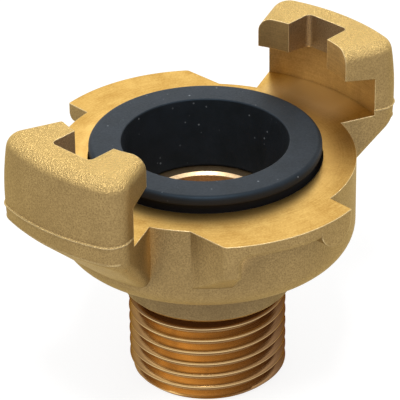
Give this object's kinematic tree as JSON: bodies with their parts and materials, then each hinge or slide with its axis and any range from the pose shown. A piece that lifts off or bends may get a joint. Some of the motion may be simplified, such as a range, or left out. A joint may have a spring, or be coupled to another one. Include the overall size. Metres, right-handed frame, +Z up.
{
  "type": "claw hose coupling",
  "caption": "Forged brass claw coupling with an external pipe thread below and a rubber form seal in its face; hooked claws and ramped wings lock to a like coupling with a twist.",
  "frame": {"origin": "centre of the threaded spigot's end face, on which the part stands", "axes": "+Z up along the waterway towards the claws, +X through one claw, +Y through one wing"},
  "size_m": [0.0572, 0.0468, 0.0421],
  "materials": {
    "brass": "blasted forging with machined face, slots, thread and bore",
    "rubber": "matte moulded"
  },
  "bodies": {
    "root": {"coupling_body": "brass", "seal_ring": "rubber"}
  },
  "joints": []
}
